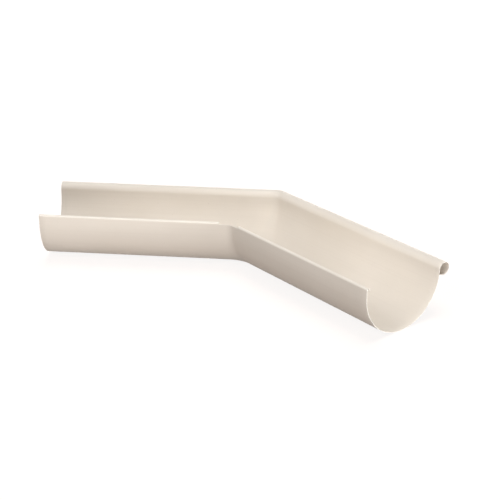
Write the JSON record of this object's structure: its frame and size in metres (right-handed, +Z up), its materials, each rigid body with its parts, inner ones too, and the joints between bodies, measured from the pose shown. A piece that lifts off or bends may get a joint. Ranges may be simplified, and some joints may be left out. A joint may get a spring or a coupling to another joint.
{
  "type": "half-round gutter external angle",
  "caption": "Half-round metal roof gutter bent round an outside corner, open upwards, with a rolled front bead and a folded back edge.",
  "frame": {"origin": "middle of the bounding box, at the height of the trough's underside", "axes": "+X from the left arm to the right arm, +Y towards the outer side of the corner with the bead, +Z up out of the open trough"},
  "size_m": [0.5798, 0.2508, 0.074],
  "materials": {
    "coated_steel": "satin cream coating"
  },
  "bodies": {
    "root": {"gutter_angle": "coated_steel"}
  },
  "joints": []
}
